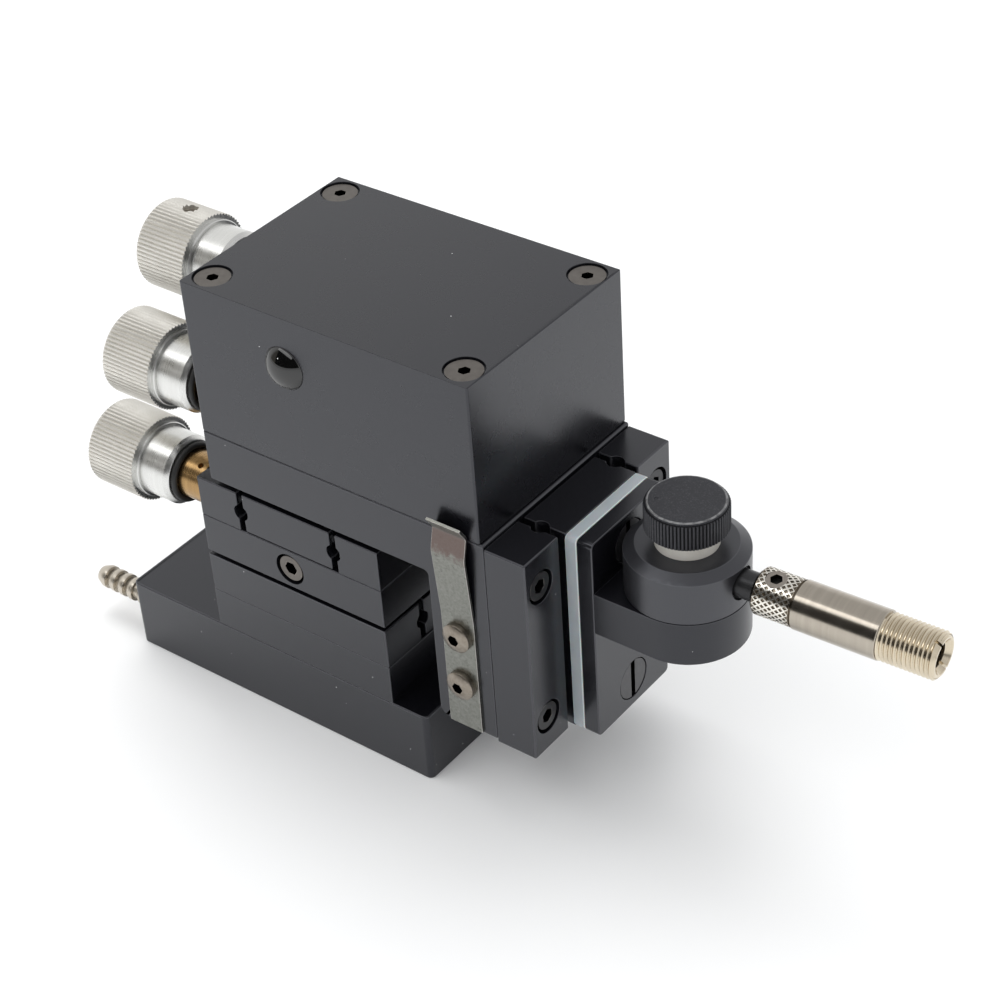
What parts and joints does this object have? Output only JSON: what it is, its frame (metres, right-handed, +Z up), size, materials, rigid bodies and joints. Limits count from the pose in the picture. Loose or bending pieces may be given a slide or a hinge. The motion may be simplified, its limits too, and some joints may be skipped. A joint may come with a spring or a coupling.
{
  "type": "micromanipulator",
  "caption": "Compact three axis probe micromanipulator: vacuum base, crossed ball slides, boxed drive with fine knobs, upright slide with insulated arm, swivel and probe holder.",
  "frame": {"origin": "centre of the underside of the base block", "axes": "+Z up, +X from the knobs toward the probe end, +Y away from the side with the lead clip"},
  "size_m": [0.1812, 0.0469, 0.0943],
  "materials": {
    "black_anodised": "satin black anodised",
    "black_screw": "black oxide",
    "brown_screw": "worn brown-black oxide",
    "set_screw": "bare, slightly dark",
    "worn_steel": "worn brown steel",
    "clip_steel": "tumbled spring steel",
    "ball_steel": "polished",
    "spindle_steel": "ground",
    "satin_aluminium": "satin turned",
    "polished_steel": "polished",
    "brass": "turned",
    "rubber": "matte",
    "nickel": "nickel plated",
    "white_insulator": "slightly translucent",
    "washer_plastic": "satin",
    "gloss_plug": "glossy",
    "thumb_black": "matte black, worn on the rim"
  },
  "bodies": {
    "base": {"base_block": "black_anodised", "hose_barb": "nickel", "base_screws": "black_screw", "deck_plate": "black_anodised", "x_rails": "black_anodised", "x_rail_screws": "black_screw", "x_cages": "ball_steel"},
    "x_slide": {"x_carriage": "black_anodised", "x_plate": "black_anodised", "x_plate_screws": "black_screw", "lock_screw": "brown_screw", "y_rails": "black_anodised", "y_rail_screws": "black_screw", "y_cages": "ball_steel", "x_bushing": "brass"},
    "x_knob": {"x_thimble": "satin_aluminium", "x_barrel": "polished_steel", "x_o_ring": "rubber", "x_spindle": "spindle_steel", "x_grub": "set_screw"},
    "y_slide": {"y_carriage": "black_anodised", "bracket": "black_anodised", "bracket_screws": "black_screw", "cover": "black_anodised", "cover_screws": "brown_screw", "side_plug": "gloss_plug", "y_bushing": "brass", "z_bushing": "brass", "z_rails": "black_anodised", "z_rail_screws": "black_screw", "z_cages": "ball_steel", "spring_clip": "clip_steel", "clip_screws": "worn_steel"},
    "y_knob": {"y_thimble": "satin_aluminium", "y_barrel": "polished_steel", "y_o_ring": "rubber", "y_spindle": "spindle_steel", "y_grub": "set_screw"},
    "z_knob": {"z_thimble": "satin_aluminium", "z_barrel": "polished_steel", "z_o_ring": "rubber", "z_spindle": "spindle_steel", "z_grub": "set_screw"},
    "z_slide": {"z_carriage": "black_anodised", "insulator": "white_insulator", "face_plate": "black_anodised", "plate_screws": "black_screw", "arm": "black_anodised", "arm_screws": "black_screw"},
    "swivel": {"swivel_disc": "black_anodised", "stub_pin": "black_screw", "slip_washer": "washer_plastic"},
    "thumb": {"thumb_knob": "thumb_black", "thumb_screw": "spindle_steel"},
    "holder": {"probe_holder": "nickel", "holder_screw": "brown_screw"}
  },
  "joints": [
    {"name": "x_slide_travel", "type": "slide", "parent": "base", "child": "x_slide", "axis": [1, 0, 0], "range_m": [-0.00635, 0.00635]},
    {"name": "y_slide_travel", "type": "slide", "parent": "x_slide", "child": "y_slide", "axis": [0, 1, 0], "range_m": [-0.00635, 0.00635]},
    {"name": "z_slide_travel", "type": "slide", "parent": "y_slide", "child": "z_slide", "axis": [0, 0, 1], "range_m": [-0.00635, 0.00635]},
    {"name": "x_knob_turn", "type": "hinge", "parent": "x_slide", "child": "x_knob", "pos_m": [-0.03, -0.01675, 0.0462], "axis": [1, 0, 0], "range_deg": [-3600, 3600]},
    {"name": "y_knob_turn", "type": "hinge", "parent": "y_slide", "child": "y_knob", "pos_m": [-0.022, -0.0144, 0.0681], "axis": [1, 0, 0], "range_deg": [-3600, 3600]},
    {"name": "z_knob_turn", "type": "hinge", "parent": "y_slide", "child": "z_knob", "pos_m": [-0.022, -0.0028, 0.0858], "axis": [1, 0, 0], "range_deg": [-3600, 3600]},
    {"name": "swivel_turn", "type": "hinge", "parent": "z_slide", "child": "swivel", "pos_m": [0.081, 0, 0.0514], "axis": [0, 0, 1], "range_deg": [-107, 103]},
    {"name": "thumb_turn", "type": "hinge", "parent": "z_slide", "child": "thumb", "pos_m": [0.081, 0, 0.0641], "axis": [0, 0, 1], "range_deg": [0, 360]},
    {"name": "holder_roll", "type": "hinge", "parent": "swivel", "child": "holder", "pos_m": [0.09519, 0.0005, 0.0561], "axis": [0.9994, 0.0349, 0], "continuous": true}
  ],
  "couplings": [
    {"joint": "x_knob_turn", "follows": "x_slide_travel", "rad_per_m": 9894.7},
    {"joint": "y_knob_turn", "follows": "y_slide_travel", "rad_per_m": 9894.7},
    {"joint": "z_knob_turn", "follows": "z_slide_travel", "rad_per_m": 9894.7}
  ]
}
